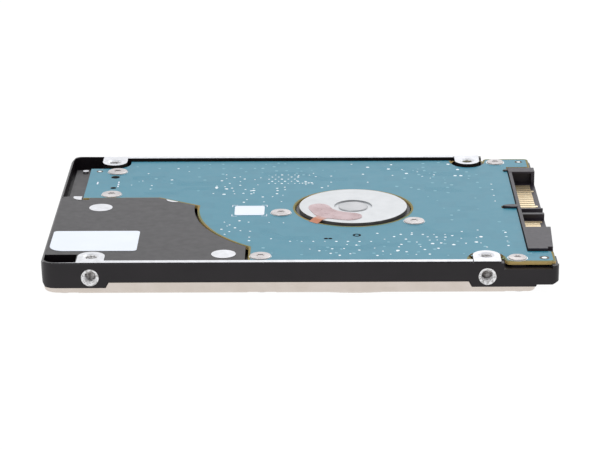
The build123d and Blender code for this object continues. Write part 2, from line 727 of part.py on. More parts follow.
def pivot_shaft():
    """Fixed post that the actuator turns on."""
    return disc(PIVOT, 1.5, ARM_BOTTOM, POCKET_TOP) + disc(PIVOT, 1.0, POCKET_TOP, 6.4)


def pivot_bearings():
    """Two bearings that turn on the fixed post."""
    return group([ring(PIVOT, 1.54, 3.1, z, z + 1.1) for z in (1.1, 3.5)])


def pivot_sleeve():
    """Sleeve that joins the two bearings to the arm block."""
    return ring(PIVOT, 3.1, 3.8, 1.0, 4.7)


def actuator_arm():
    """Aluminium block with one arm below and one above the platter."""
    hub = raised(Circle(5.5), ARM_BOTTOM, ARM_TOP) - box(-6, 6, 4.6, 6, 0, 5)
    edge = [(0, 4.4), (9.5, 4.4), (22.6, 2.3), (23.4, 1.5)]
    blade = outline(*edge, *[(x, -y) for x, y in edge[::-1]])
    blade -= Pos(14.5, 0) * Circle(1.5)
    arms = raised(blade, ARM_BOTTOM, ARM_BOTTOM + ARM_PLATE)
    arms += raised(blade, ARM_TOP - ARM_PLATE, ARM_TOP)
    return at_pivot(hub + arms - raised(Circle(3.8), 0, 5), PARK_ANGLE)


def coil_frame():
    """Moulded fork that holds the voice coil behind the pivot."""
    body = sector((0, 0), (5.5, 19.6), -20, 20, COIL_BOTTOM + 0.05, COIL_TOP - 0.05)
    body -= sector((0, 0), (9.6, 18.6), -16, 16, 0, 5)
    body += sector((0, 0), (19.4, 20.4), 17, 20, COIL_BOTTOM + 0.05, COIL_TOP - 0.05)
    return at_pivot(body, COIL_ANGLE)


def voice_coil():
    """Flat copper coil wound to the shape of a ring sector."""
    body = sector((0, 0), (9.6, 18.6), -16, 16, COIL_BOTTOM, COIL_TOP)
    return at_pivot(body - sector((0, 0), (11.3, 16.9), -9.5, 9.5, 0, 5), COIL_ANGLE)


def suspension(bottom):
    """Thin sprung beam that carries a head, with a lift tab at its tip."""
    edge = [(19.6, 2.0), (22.6, 2.0), (31.0, 0.7), (31.9, 0.25), (33.9, 0.25)]
    beam = outline(*[(x, -y) for x, y in edge], *edge[::-1])
    return at_pivot(raised(beam, bottom, bottom + 0.1), PARK_ANGLE)


def slider(bottom):
    """Tiny head block that flies over the platter."""
    return at_pivot(box(30.0, 31.2, -0.5, 0.5, bottom, bottom + 0.28), PARK_ANGLE)


def preamp_chip():
    """Chip on the side of the arm block that amplifies the heads' signals."""
    return at_pivot(box(-1.5, 1.5, 4.76, 5.3, 1.7, 3.2), PARK_ANGLE)


def yoke(bottom, top):
    """Steel plate that carries a magnet."""
    return sector(PIVOT, YOKE_R, YOKE_START, YOKE_END, bottom, top)


def magnet(bottom, top):
    """Flat magnet facing the voice coil."""
    return sector(PIVOT, MAGNET_R, MAGNET_START, MAGNET_END, bottom, top)


def yoke_posts():
    """Two spacers between the yokes."""
    places = [polar(PIVOT, 18.8, 186.8), polar(PIVOT, 11.8, 276.4)]
    return group([disc(place, 1.1, 1.4, 4.9) for place in places])


def crash_stops():
    """Two rubber bumpers that end the actuator's travel."""
    return group([disc(polar(PIVOT, 14.6, angle), 1.0, 1.4, 4.9) for angle in (188.4, 273.6)])


def latch_pin():
    """Fixed pin of the inertia latch."""
    return disc(LATCH_PIN, 0.6, 1.6, CAVITY_TOP + 0.8)


def latch_lever():
    """Small lever that swings over a nub of the coil frame when the drive is knocked."""
    hook = [(-7.0, -2.85), (-7.2, -2.2), (-7.7, -2.3), (-7.6, -3.35)]
    plan = Circle(1.5) + outline((0.2, 1.4), (-3.4, -1.8), *hook, (-3.2, -2.8), (0.2, -1.4))
    plan += outline((0, 1.4), (2.6, 2.3), (3.2, 1.2), (0.4, -1.4))
    plan -= Circle(0.64)
    return raised(Pos(*LATCH_PIN) * plan, 2.4, 3.2)


def ramp():
    """Plastic ramp that lifts the heads off the platter; the platter's rim runs in its slot."""
    body = sector(PIVOT, (32.2, 34.8), 62, 75, 1.55, 3.05)
    body += sector(PIVOT, (34.8, 37.6), 69, 75, 1.55, CAVITY_TOP)
    body += sector(PIVOT, (34.6, 35.0), 62, 75, 1.55, 3.05)
    body -= disc(SPINDLE, 32.85, 1.85, 2.75)
    return body - disc(RAMP_SCREW, 0.85, 0, HEIGHT)


def ramp_screw():
    """Screw that holds the ramp."""
    return Pos(*RAMP_SCREW, 1.2) * Rot(180, 0, 0) * torx_screw((0, 0), 1.4, TAP_R, 0, 0.35, -3.3)


# ---------------------------------------------------------------- head wiring and filters


def flex_cable():
    """Ribbon from the arm block to the head connector, standing on edge in a loose loop."""
    flat = polar(PIVOT, 4.68, PARK_ANGLE + 90)
    points = [polar(flat, 2.2, PARK_ANGLE), polar(flat, -3.6, PARK_ANGLE)]
    points += [(-36.4, -8.4), (-39.8, -1.0), (-38.4, 10.9)]
    path = FilletPolyline(*points, radius=[0.9, 1.8, 2.6])
    return raised(trace(path, line_width=0.14), 1.5, 3.4)


def flex_bracket():
    """Plate under the head connector that the ribbon is glued to."""
    plan = rounded(-43.2, -35.6, 11.0, 24.0, 0.8)
    return raised(plan, 3.4, 3.8)


def head_connector():
    """Connector through the casting that joins the ribbon to the board."""
    body = box(-41.7, -37.5, 12.6, 22.5, 3.8, BOARD_BOTTOM - 0.02)
    body += disc((-39.7, 21.3), 0.88, BOARD_BOTTOM - 0.1, BOARD_TOP)
    return body + disc((-39.6, 13.8), 0.58, BOARD_BOTTOM - 0.1, BOARD_TOP)


def breather_filter():
    """Round filter that lets the sealed space breathe."""
    return disc(BREATHER, 3.1, 1.4, 4.0)


def recirculation_filter():
    """Small pillow that cleans the air blown off the platter."""
    pad = Pos(0.4, 0, 2.75) * Box(1.6, 8.4, 2.2)
    return Pos(*RECIRCULATION) * Rot(0, 0, 45) * pad


# ---------------------------------------------------------------- export

NODES = {
    "base_casting": base_casting(),
    "top_cover": top_cover(),
    "cover_gasket": cover_gasket(),
    "cover_screws": cover_screws(),
    "product_label": product_label(),
    "serial_label": serial_label(),
    "circuit_board": circuit_board(),
    "board_screws": board_screws(),
    "board_label": board_label(),
    "controller_chip": chip(30.5, 8.0, 9.0, 9.0, 0.65),
    "motor_driver_chip": chip(7.0, -19.5, 7.0, 7.0, 0.65),
    "memory_chip": chip(14.0, 19.5, 8.0, 7.0, 0.65),
    "board_capacitors": board_capacitors(),
    "insulator_sheet": insulator_sheet(),
    "sata_connector": sata_connector(),
    "power_contacts": power_contacts(),
    "signal_contacts": signal_contacts(),
    "motor_base": motor_base(),
    "bearing_cap": bearing_cap(),
    "bearing_sleeve": bearing_sleeve(),
    "stator_core": stator_core(),
    "stator_coils": stator_coils(),
    "motor_flex": motor_flex(),
    "spindle_shaft": spindle_shaft(),
    "spindle_hub": spindle_hub(),
    "rotor_magnet": rotor_magnet(),
    "platter": platter(),
    "disc_clamp": disc_clamp(),
    "clamp_screws": clamp_screws(),
    "pivot_shaft": pivot_shaft(),
    "pivot_bearings": pivot_bearings(),
    "pivot_sleeve": pivot_sleeve(),
    "actuator_arm": actuator_arm(),
    "coil_frame": coil_frame(),
    "voice_coil": voice_coil(),
    "lower_suspension": suspension(ARM_BOTTOM + ARM_PLATE),
    "upper_suspension": suspension(ARM_TOP - ARM_PLATE - 0.1),
    "lower_slider": slider(ARM_BOTTOM + ARM_PLATE + 0.1),
    "upper_slider": slider(ARM_TOP - ARM_PLATE - 0.38),
    "preamp_chip": preamp_chip(),
    "lower_yoke": yoke(0.7, 1.4),
    "upper_yoke": yoke(4.9, 5.9),
    "lower_magnet": magnet(1.4, 2.1),
    "upper_magnet": magnet(3.75, 4.9),
    "yoke_posts": yoke_posts(),
    "crash_stops": crash_stops(),
    "latch_pin": latch_pin(),
    "latch_lever": latch_lever(),
    "ramp": ramp(),
    "ramp_screw": ramp_screw(),
    "flex_cable": flex_cable(),
    "flex_bracket": flex_bracket(),
    "head_connector": head_connector(),
    "breather_filter": breather_filter(),
    "recirculation_filter": recirculation_filter(),
}

os.makedirs("parts", exist_ok=True)
for node, shape in NODES.items():
    export_step(shape, f"parts/{node}.step")
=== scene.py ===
import json
import math
import random

import bmesh
import bpy
from mathutils import Matrix, Vector


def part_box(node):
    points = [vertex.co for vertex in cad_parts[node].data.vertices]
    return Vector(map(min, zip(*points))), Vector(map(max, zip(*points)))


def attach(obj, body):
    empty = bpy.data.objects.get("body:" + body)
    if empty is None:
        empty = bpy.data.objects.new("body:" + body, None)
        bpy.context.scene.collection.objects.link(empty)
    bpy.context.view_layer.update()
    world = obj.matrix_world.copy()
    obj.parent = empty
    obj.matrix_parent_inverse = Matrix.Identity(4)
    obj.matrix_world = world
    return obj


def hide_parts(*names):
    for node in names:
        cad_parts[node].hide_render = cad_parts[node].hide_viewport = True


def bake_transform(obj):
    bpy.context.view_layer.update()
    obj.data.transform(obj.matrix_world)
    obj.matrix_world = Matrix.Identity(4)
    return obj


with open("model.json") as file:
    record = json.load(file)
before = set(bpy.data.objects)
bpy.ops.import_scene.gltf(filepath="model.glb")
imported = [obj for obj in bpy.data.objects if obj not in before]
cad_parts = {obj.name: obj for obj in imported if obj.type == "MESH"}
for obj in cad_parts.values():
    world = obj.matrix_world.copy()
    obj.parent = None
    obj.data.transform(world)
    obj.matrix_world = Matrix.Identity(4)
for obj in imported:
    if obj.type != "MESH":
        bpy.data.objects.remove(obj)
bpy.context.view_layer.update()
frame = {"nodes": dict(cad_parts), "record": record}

MM = 0.001
random.seed(7)

# ---------------------------------------------------------------- places on the drive, in millimetres


def node_box(name):
    """A node's lowest and highest corners."""
    low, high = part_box(name)
    return low / MM, high / MM


# Read from the frame
BOARD_TOP = node_box("circuit_board")[1].z
MOTOR_LOW, MOTOR_HIGH = node_box("motor_base")
SPINDLE = (MOTOR_LOW + MOTOR_HIGH) / 2
MOTOR_R = (MOTOR_HIGH.x - MOTOR_LOW.x) / 2
CASTING_HIGH = node_box("base_casting")[1]
HALF_WIDTH = CASTING_HIGH.y
DATUM = CASTING_HIGH.z
LABEL_LOW, LABEL_HIGH = node_box("board_label")

# Mounting holes
HOLES_X = (-40.5, 36.1)
HOLE_Y = 30.86
HOLE_R = 1.25
SIDE_HOLE_Z = DATUM - 3.0
SIDE_MOUTH_DEPTH = 0.35
THREAD_PITCH = 0.5
THREAD_HEIGHT = 0.14
THREAD_START = 0.1

# Bare metal on the casting
SPOT_TOP = 6.74
LOCATING_STUD = (-46.7, 28.6)

# Limits that pick out the bare faces, set a little outside them
MILLED_X = (-43.4, 39.0)
STUD_LIMIT_R = 0.7
PAD_MOUTH_LIMIT_R = 1.65
PAD_MOUTH_LIMIT_Z = DATUM - 0.21
PAD_BORE_LIMIT_R = 1.3
PAD_BORE_LIMIT_Z = DATUM - 1.9
SIDE_MOUTH_LIMIT_R = 1.95
SIDE_BORE_LIMIT_Y = 31.5

# Circuit board
BOARD_HOLE_R = 11.95
BULGE_EDGE_R = 32.0                      # the board's edge that curves round the bulge
PAD_EDGE_R = 3.5                         # the board's edge round a mounting pad
TOOLING_HOLES = [((47.3, -31.2), 0.95), ((47.3, 31.2), 0.8), ((-43.4, 25.5), 0.7)]
SCREW_PLACES = [
    (-39.5, 25.0),
    (-39.6, 9.2),
    (-4.0, -3.3),
    (23.0, -8.9),
    (-7.7, -29.9),
    (42.2, 30.9),
    (42.1, -31.3),
]
SCREW_KEEP_OUT = 2.5
LAND_R = 2.18
CORNER_LAND_R = 1.98
LAND_WIDTH = 0.4
MARGIN_WIDTH = 0.42

# How far things stand above the board
TRACE_HEIGHT = 0.006
MARGIN_HEIGHT = 0.008
RIM_HEIGHT = 0.01
MARK_HEIGHT = 0.012
INK_HEIGHT = 0.015
SOLDER_HEIGHT = 0.02
PAD_HEIGHT = 0.025
EYELET_HEIGHT = 0.03

# Motor flex: how far from the spindle its film stops being pink and is fully orange
PINK_FILM_R = 9.3
ORANGE_FILM_R = 11.0

# Ribbon cable between the head connector and the arm
PIVOT = Vector((-27.0, -8.0))
PARK_ANGLE = math.radians(69.0)
ARM_FLAT = 4.68                          # from the pivot to the arm's flat side
RIBBON_THICK = 0.14
RIBBON_BENDS = (0.9, 1.8, 2.6)

# ---------------------------------------------------------------- camera, light and floor

ELEVATION = math.radians(19.03)
AZIMUTH = math.radians(0.325)
ROLL = math.radians(-0.315)
DISTANCE = 0.50224
AIM = Vector((-0.000125, 0.0, 0.0))
LENS = 145.83
SENSOR = 36.0
SHIFT = (-0.0003, 0.0212)
FRONT_LIGHT = (0.42, 0.42, 0.43, 1)
BACK_LIGHT = (1.1, 1.1, 1.12, 1)
LAMP_POWER = 2.5
FLOOR_DROP = 0.02


def make_camera():
    """The camera in front of the drive, looking down on it a little and almost level."""
    back = Vector((
        math.sin(AZIMUTH) * math.cos(ELEVATION),
        -math.cos(AZIMUTH) * math.cos(ELEVATION),
        math.sin(ELEVATION),
    ))
    right = Vector((math.cos(AZIMUTH), math.sin(AZIMUTH), 0))
    up = back.cross(right)
    right, up = (
        math.cos(ROLL) * right + math.sin(ROLL) * up,
        -math.sin(ROLL) * right + math.cos(ROLL) * up,
    )
    turn = Matrix((right, up, back)).transposed().to_4x4()
    data = bpy.data.cameras.new("camera")
    data.lens = LENS
    data.sensor_width = SENSOR
    data.shift_x, data.shift_y = SHIFT
    data.clip_start = 0.01
    camera = bpy.data.objects.new("camera", data)
    camera.matrix_world = Matrix.Translation(AIM + back * DISTANCE) @ turn
    bpy.context.scene.collection.objects.link(camera)
    bpy.context.scene.camera = camera


def make_world():
    """A white studio: brightest behind, darker towards the front."""
    world = bpy.data.worlds.new("studio")
    world.use_nodes = True
    tree = world.node_tree
    tree.nodes.clear()
    out = tree.nodes.new("ShaderNodeOutputWorld")
    sky = tree.nodes.new("ShaderNodeBackground")
    ramp = tree.nodes.new("ShaderNodeValToRGB")
    split = tree.nodes.new("ShaderNodeSeparateXYZ")
    spread = tree.nodes.new("ShaderNodeMapRange")
    place = tree.nodes.new("ShaderNodeTexCoord")
    spread.inputs["From Min"].default_value = -1
    spread.inputs["From Max"].default_value = 1
    ramp.color_ramp.elements[0].position = 0.0
    ramp.color_ramp.elements[0].color = FRONT_LIGHT
    ramp.color_ramp.elements[1].position = 0.7
    ramp.color_ramp.elements[1].color = BACK_LIGHT
    tree.links.new(place.outputs["Generated"], split.inputs[0])
    tree.links.new(split.outputs["Y"], spread.inputs["Value"])
    tree.links.new(spread.outputs[0], ramp.inputs[0])
    tree.links.new(ramp.outputs[0], sky.inputs["Color"])
    sky.inputs["Strength"].default_value = 1.0
    tree.links.new(sky.outputs[0], out.inputs[0])
    bpy.context.scene.world = world


def make_light(name, place, size):
    """A large soft lamp aimed at the middle of the object."""
    data = bpy.data.lights.new(name, "AREA")
    data.shape = "DISK"
    data.size = size
    data.energy = LAMP_POWER
    lamp = bpy.data.objects.new(name, data)
    place = Vector(place)
    turn = place.to_track_quat("Z", "Y").to_matrix().to_4x4()
    lamp.matrix_world = Matrix.Translation(place) @ turn
    bpy.context.scene.collection.objects.link(lamp)


def make_floor():
    """A plain white sheet just under the object, glowing a little so that it stays clean."""
    bpy.ops.mesh.primitive_plane_add(size=8, location=(0, 0, -FLOOR_DROP * MM))
    floor = bpy.context.object
    floor.name = "floor"
    material = bpy.data.materials.new("floor_white")
    material.use_nodes = True
    shader = material.node_tree.nodes["Principled BSDF"]
    shader.inputs["Base Color"].default_value = (0.06, 0.06, 0.06, 1)
    shader.inputs["Roughness"].default_value = 0.9
    shader.inputs["Specular IOR Level"].default_value = 0.0
    shader.inputs["Emission Color"].default_value = (1, 1, 1, 1)
    shader.inputs["Emission Strength"].default_value = 0.98
    floor.data.materials.append(material)


# ---------------------------------------------------------------- material helpers


class Finish:
    """A node material with the few helpers that the finishes below share."""

    def __init__(self, name, colour, roughness, metallic=0.0, **settings):
        self.material = bpy.data.materials.new(name)
        self.material.use_nodes = True
        self.tree = self.material.node_tree
        self.shader = self.tree.nodes["Principled BSDF"]
        self.shader.inputs["Base Color"].default_value = (*colour, 1)
        self.shader.inputs["Roughness"].default_value = roughness
        self.shader.inputs["Metallic"].default_value = metallic
        for socket, value in settings.items():
            self.shader.inputs[socket.replace("_", " ")].default_value = value
        self.place = self.tree.nodes.new("ShaderNodeTexCoord").outputs["Object"]

    def node(self, kind, **inputs):
        """A new node with some of its inputs set."""
        made = self.tree.nodes.new(kind)
        for socket, value in inputs.items():
            made.inputs[socket.replace("_", " ")].default_value = value
        return made

    def join(self, output, socket):
        self.tree.links.new(output, socket)

    def mapped(self, scale=(1, 1, 1), shift=(0, 0, 0)):
        """Object coordinates in millimetres, stretched and moved."""
        node = self.node("ShaderNodeMapping")
        node.inputs["Location"].default_value = shift
        node.inputs["Scale"].default_value = [s / MM for s in scale]
        self.join(self.place, node.inputs["Vector"])
        return node.outputs[0]

    def noise(self, size, detail=3.0, scale=(1, 1, 1)):
        """Cloudy noise whose patches are about this many millimetres across."""
        node = self.node("ShaderNodeTexNoise", Scale=1.0 / size, Detail=detail)
        self.join(self.mapped(scale), node.inputs["Vector"])
        return node.outputs["Fac"]

    def blend(self, factor, low, high, span=(0.35, 0.65)):
        """A colour that runs from one to another as the factor crosses a span."""
        node = self.node("ShaderNodeValToRGB")
        node.color_ramp.elements[0].position, node.color_ramp.elements[1].position = span
        node.color_ramp.elements[0].color = (*low, 1)
        node.color_ramp.elements[1].color = (*high, 1)
        self.join(factor, node.inputs[0])
        return node.outputs[0]

    def vary_colour(self, factor, low, high, span=(0.35, 0.65)):
        self.join(self.blend(factor, low, high, span), self.shader.inputs["Base Color"])

    def vary_roughness(self, factor, low, high):
        node = self.node("ShaderNodeMapRange")
        node.inputs["To Min"].default_value = low
        node.inputs["To Max"].default_value = high
        self.join(factor, node.inputs["Value"])
        self.join(node.outputs[0], self.shader.inputs["Roughness"])

    def bump(self, height, depth, strength=1.0):
        """Surface relief of this depth in millimetres, added to any already there."""
        node = self.node("ShaderNodeBump", Strength=strength, Distance=depth * MM)
        self.join(height, node.inputs["Height"])
        normal = self.shader.inputs["Normal"]
        if normal.is_linked:
            self.join(normal.links[0].from_socket, node.inputs["Normal"])
        self.join(node.outputs[0], normal)


def rings(finish, centre, pitch):
    """Fine turned rings around an upright axis."""
    wave = finish.node("ShaderNodeTexWave", Scale=1.0 / pitch, Distortion=0.4, Detail=1.0)
    wave.wave_type = "RINGS"
    wave.rings_direction = "Z"
    finish.join(finish.mapped(shift=(-centre[0], -centre[1], 0)), wave.inputs["Vector"])
    return wave.outputs["Fac"]


# ---------------------------------------------------------------- finishes


def black_ecoat():
    """Thin satin black coat over a die casting, with the casting's fine grain showing through."""
    f = Finish("black_ecoat", (0.010, 0.008, 0.010), 0.34, IOR=1.4)
    f.vary_colour(f.noise(6), (0.0068, 0.0048, 0.0068), (0.0098, 0.0072, 0.0095))
    f.vary_roughness(f.noise(1.6, 5), 0.26, 0.44)
    f.bump(f.noise(0.32, 4), 0.006, 0.5)
    f.bump(f.noise(3.0, 2), 0.01, 0.3)
    return f.material


def milled_metal():
    """Bare aluminium left by a face mill: fine crossing arcs."""
    f = Finish("milled_metal", (0.68, 0.68, 0.7), 0.3, 1.0)
    f.vary_colour(f.noise(1.2), (0.62, 0.63, 0.65), (0.72, 0.73, 0.76))
    f.vary_roughness(f.noise(0.5, 4, (1, 6, 1)), 0.22, 0.42)
    f.bump(rings(f, (-18.0, 9.0), 0.35), 0.004, 0.5)
    return f.material


def bore_metal():
    """Threaded metal inside a hole: a bright, broken surface that takes light from every side."""
    f = Finish("bore_metal", (0.9, 0.9, 0.91), 0.45, 0.15)
    f.vary_colour(f.noise(0.45, 4), (0.5, 0.49, 0.48), (0.96, 0.96, 0.97), (0.42, 0.52))
    f.vary_roughness(f.noise(0.3), 0.3, 0.5)
    return f.material


def drilled_end():
    """The rough end of a drilled hole: mid-grey metal, mottled darker and lighter."""
    f = Finish("drilled_end", (0.5, 0.47, 0.45), 0.4, 0.5)
    f.vary_colour(f.noise(0.9, 4), (0.22, 0.2, 0.19), (0.8, 0.78, 0.77), (0.42, 0.6))
    f.vary_roughness(f.noise(0.4), 0.3, 0.5)
    return f.material


def board_mask():
    """Blue solder mask, a touch lighter where copper lies under it."""
    f = Finish("board_mask", (0.005, 0.2, 0.29), 0.32, IOR=1.38)
    f.shader.inputs["Coat Weight"].default_value = 0.1
    f.shader.inputs["Coat Roughness"].default_value = 0.2
    pour = f.node("ShaderNodeTexVoronoi", Scale=1.0 / 5.5)
    pour.distance = "CHEBYCHEV"
    f.join(f.mapped(), pour.inputs["Vector"])
    f.vary_colour(pour.outputs["Distance"], (0.004, 0.196, 0.286), (0.006, 0.206, 0.298), (0.3, 0.36))
    f.vary_roughness(f.noise(2.5, 3), 0.27, 0.38)
    f.bump(f.noise(0.5, 3, (1, 1, 0.2)), 0.006, 0.35)
    return f.material


def board_trace():
    """Copper under the mask: the same blue, hardly lighter, and raised."""
    f = Finish("board_trace", (0.007, 0.206, 0.3), 0.32, IOR=1.38, Coat_Weight=0.1, Coat_Roughness=0.2)
    f.vary_colour(f.noise(4), (0.006, 0.203, 0.296), (0.009, 0.212, 0.306))
    f.vary_roughness(f.noise(2.5), 0.29, 0.38)
    return f.material


def laminate():
    """Bare laminate along the board's edges, where the mask stops."""
    f = Finish("bare_laminate", (0.22, 0.19, 0.06), 0.6, Specular_IOR_Level=0.2)
    f.vary_colour(f.noise(4), (0.17, 0.2, 0.075), (0.3, 0.2, 0.045))
    f.vary_roughness(f.noise(0.6), 0.5, 0.7)
    return f.material


def faint_pad():
    """A copper pad under the mask, seen as a paler spot."""
    f = Finish("faint_pad", (0.14, 0.38, 0.46), 0.35, IOR=1.4)
    f.vary_colour(f.noise(5), (0.08, 0.31, 0.40), (0.2, 0.44, 0.52))
    f.vary_roughness(f.noise(0.5), 0.3, 0.42)
    return f.material


def board_edge():
    """Cut edge of the laminate: pale glass layers in yellow-green resin."""
    f = Finish("board_edge", (0.5, 0.42, 0.2), 0.6, Specular_IOR_Level=0.2)
    layers = f.node("ShaderNodeTexWave", Scale=1.0 / 0.5, Distortion=1.2, Detail=2.0)
    layers.bands_direction = "Z"
    f.join(f.mapped(), layers.inputs["Vector"])
    f.vary_colour(layers.outputs["Fac"], (0.46, 0.32, 0.09), (0.74, 0.55, 0.24))
    f.bump(f.noise(0.15, 3), 0.01, 0.6)
    return f.material


def solder_dot():
    """Tinned copper of a via or a test pad."""
    f = Finish("solder_dot", (0.8, 0.85, 0.86), 0.35, 0.6)
    f.vary_colour(f.noise(0.7), (0.62, 0.74, 0.78), (0.9, 0.92, 0.92))
    f.vary_roughness(f.noise(0.2), 0.25, 0.45)
    return f.material


def gold():
    """Hard gold plating, slightly worn."""
    f = Finish("gold_plate", (0.98, 0.79, 0.5), 0.32, 0.8)
    f.vary_colour(f.noise(1.5), (0.95, 0.75, 0.46), (1.0, 0.84, 0.56))
    f.vary_roughness(f.noise(0.3, 4, (1, 8, 1)), 0.2, 0.4)
    return f.material


def label_film():
    """White label film with a very faint grain."""
    f = Finish("label_film", (0.82, 0.87, 0.95), 0.42)
    f.vary_colour(f.noise(8), (0.80, 0.855, 0.94), (0.83, 0.885, 0.96))
    f.vary_roughness(f.noise(1.2, 4), 0.36, 0.5)
    f.bump(f.noise(0.25, 4), 0.003, 0.4)
    return f.material


def brushed(name, dark, light, grain=(0.12, 1, 1), rough=(0.24, 0.4), depth=0.003):
    """Metal with a fine grain drawn out along X."""
    f = Finish(name, light, rough[0], 1.0)
    f.vary_colour(f.noise(3.5), dark, light)
    f.vary_roughness(f.noise(0.5, 4, grain), *rough)
    f.bump(f.noise(0.3, 4, grain), depth, 0.5)
    return f.material


def turned_metal():
    """Aluminium turned on a lathe about the spindle."""
    f = Finish("turned_metal", (0.54, 0.56, 0.57), 0.32, 1.0)
    f.vary_colour(f.noise(2.5), (0.53, 0.545, 0.555), (0.565, 0.58, 0.59))
    f.vary_roughness(f.noise(0.8), 0.28, 0.42)
    f.bump(rings(f, SPINDLE, 0.3), 0.004, 0.5)
    return f.material


def moulded(name, low, high, roughness, size=0.2, depth=0.008, **settings):
    """Moulded plastic, rubber or resin with a fine spark-eroded grain."""
    f = Finish(name, high, roughness, **settings)
    f.vary_colour(f.noise(3), low, high)
    f.vary_roughness(f.noise(1.0), roughness - 0.06, roughness + 0.08)
    f.bump(f.noise(size, 4), depth, 0.6)
    return f.material


def winding():
    """Enamelled copper wire laid side by side."""
    f = Finish("copper_winding", (0.7, 0.3, 0.13), 0.3, 1.0)
    wire = f.node("ShaderNodeTexWave", Scale=1.0 / 0.32, Distortion=0.3)
    wire.wave_type = "RINGS"
    wire.rings_direction = "Z"
    f.join(f.mapped(shift=(37.0, 33.0, 0)), wire.inputs["Vector"])
    f.vary_colour(wire.outputs["Fac"], (0.36, 0.13, 0.05), (0.82, 0.38, 0.17))
    f.bump(wire.outputs["Fac"], 0.02, 0.8)
    return f.material


def flex_film():
    """Thin film over the pale motor: greyish pink on the disc, orange where it runs off the edge."""
    f = Finish("flex_film", (0.5, 0.35, 0.35), 0.34, IOR=1.45)
    tint = f.blend(f.noise(2.6), (0.42, 0.27, 0.275), (0.56, 0.41, 0.42))
    reach = f.node("ShaderNodeVectorMath")
    reach.operation = "LENGTH"
    f.join(f.mapped(shift=(-SPINDLE.x, 0, 0), scale=(1, 1, 0)), reach.inputs[0])
    spread = f.node("ShaderNodeMapRange", From_Min=PINK_FILM_R, From_Max=ORANGE_FILM_R)
    f.join(reach.outputs["Value"], spread.inputs["Value"])
    mix = f.node("ShaderNodeMix")
    mix.data_type = "RGBA"
    f.join(spread.outputs[0], mix.inputs["Factor"])
    f.join(tint, mix.inputs["A"])
    mix.inputs["B"].default_value = (0.55, 0.2, 0.1, 1)
    f.join(mix.outputs["Result"], f.shader.inputs["Base Color"])
    f.vary_roughness(f.noise(0.8), 0.22, 0.36)
    f.bump(f.noise(1.1, 3), 0.02, 0.5)
    return f.material


def felt():
    """White fibre pad."""
    f = Finish("filter_felt", (0.84, 0.84, 0.82), 0.9)
    f.vary_colour(f.noise(0.4, 6), (0.7, 0.7, 0.68), (0.9, 0.9, 0.88))
    f.bump(f.noise(0.15, 6, (1, 1, 3)), 0.05, 0.8)
    return f.material


def small_ceramic():
    """Brown ceramic of the small parts, a little uneven in colour."""
    f = Finish("capacitor_body", (0.4, 0.28, 0.18), 0.4)
    f.vary_colour(f.noise(0.6), (0.34, 0.23, 0.14), (0.48, 0.35, 0.23))
    f.bump(f.noise(0.2), 0.01, 0.5)
    return f.material


EVEN_GRAIN = (1, 1, 1)

FINISHES = {
    "black_ecoat": black_ecoat(),
    "label_paper": label_film(),
    "blue_board": board_mask(),
    "gold_contact": gold(),
    "machined_aluminium": turned_metal(),
    "cover_steel": brushed("cover_steel", (0.62, 0.555, 0.5), (0.66, 0.595, 0.545)),
    "screw_steel": brushed(
        "screw_steel", (0.46, 0.435, 0.43), (0.62, 0.59, 0.58), grain=EVEN_GRAIN, rough=(0.16, 0.3)
    ),
    "spindle_steel": brushed("spindle_steel", (0.42, 0.43, 0.44), (0.5, 0.5, 0.51), grain=EVEN_GRAIN),
    "plated_steel": brushed("plated_steel", (0.58, 0.58, 0.57), (0.72, 0.72, 0.71)),
    "magnet": brushed(
        "magnet_plate", (0.4, 0.4, 0.41), (0.55, 0.55, 0.56), grain=EVEN_GRAIN, rough=(0.3, 0.45)
    ),
    "platter_mirror": brushed(
        "platter_mirror",
        (0.80, 0.80, 0.82),
        (0.86, 0.86, 0.88),
        grain=EVEN_GRAIN,
        rough=(0.02, 0.05),
        depth=0.0005,
    ),
    "copper_wire": winding(),
    "flex_film": flex_film(),
    "filter_felt": felt(),
    "capacitor": small_ceramic(),
    "gasket_rubber": moulded("gasket_rubber", (0.012, 0.012, 0.012), (0.022, 0.022, 0.022), 0.7),
    "chip_plastic": moulded(
        "chip_plastic", (0.014, 0.014, 0.015), (0.022, 0.022, 0.023), 0.5, size=0.1, depth=0.004
    ),
    "black_plastic": moulded(
        "black_plastic", (0.019, 0.014, 0.021), (0.026, 0.020, 0.029), 0.42, size=0.15, depth=0.004
    ),
    "ramp_plastic": moulded("ramp_plastic", (0.70, 0.66, 0.54), (0.78, 0.74, 0.62), 0.45),
    "foam": moulded("insulator_foam", (0.05, 0.05, 0.055), (0.08, 0.08, 0.085), 0.85, size=0.3, depth=0.05),
    "ceramic_head": moulded(
        "ceramic_head", (0.03, 0.03, 0.034), (0.05, 0.05, 0.055), 0.2, size=0.1, depth=0.001
    ),
}
BARE_METAL = milled_metal()
BORE = bore_metal()
DRILLED = drilled_end()
LAMINATE = laminate()
FAINT = faint_pad()
DARK_MARK = moulded(
    "dark_core", (0.004, 0.004, 0.004), (0.01, 0.009, 0.009), 0.7, Specular_IOR_Level=0.05
)
# Dark brown for the rings round the tooling holes: bare laminate, darkened further as painted shade of the
# holes' rims.
BROWN_RIM_AND_SHADE = moulded(
    "brown_rim_and_shade", (0.08, 0.06, 0.045), (0.13, 0.1, 0.075), 0.6, Specular_IOR_Level=0.2
)
# Painted light: dark grey, lighter than the black coat, for the disc's edge that the narrow gap round it
# shades.
MOTOR_SIDE_PAINTED_LIGHT = moulded("motor_side_painted_light", (0.07, 0.07, 0.075), (0.1, 0.1, 0.105), 0.4)
EDGE = board_edge()
TRACE = board_trace()
SOLDER = solder_dot()


def dress_frame():
    """Gives each CAD node the finish of its slot."""
    for row in frame["record"]["subparts"]:
        piece = frame["nodes"][row["node"]]
        piece.data.materials.clear()
        piece.data.materials.append(FINISHES[row["material_slot"]])


def paint_faces(name, material, chosen):
    """Gives a second finish to the faces of a CAD node that a test picks by middle and direction."""
    mesh = frame["nodes"][name].data
    mesh.materials.append(material)
    index = len(mesh.materials) - 1
    for face in mesh.polygons:
        if chosen(face.center / MM, face.normal):
            face.material_index = index


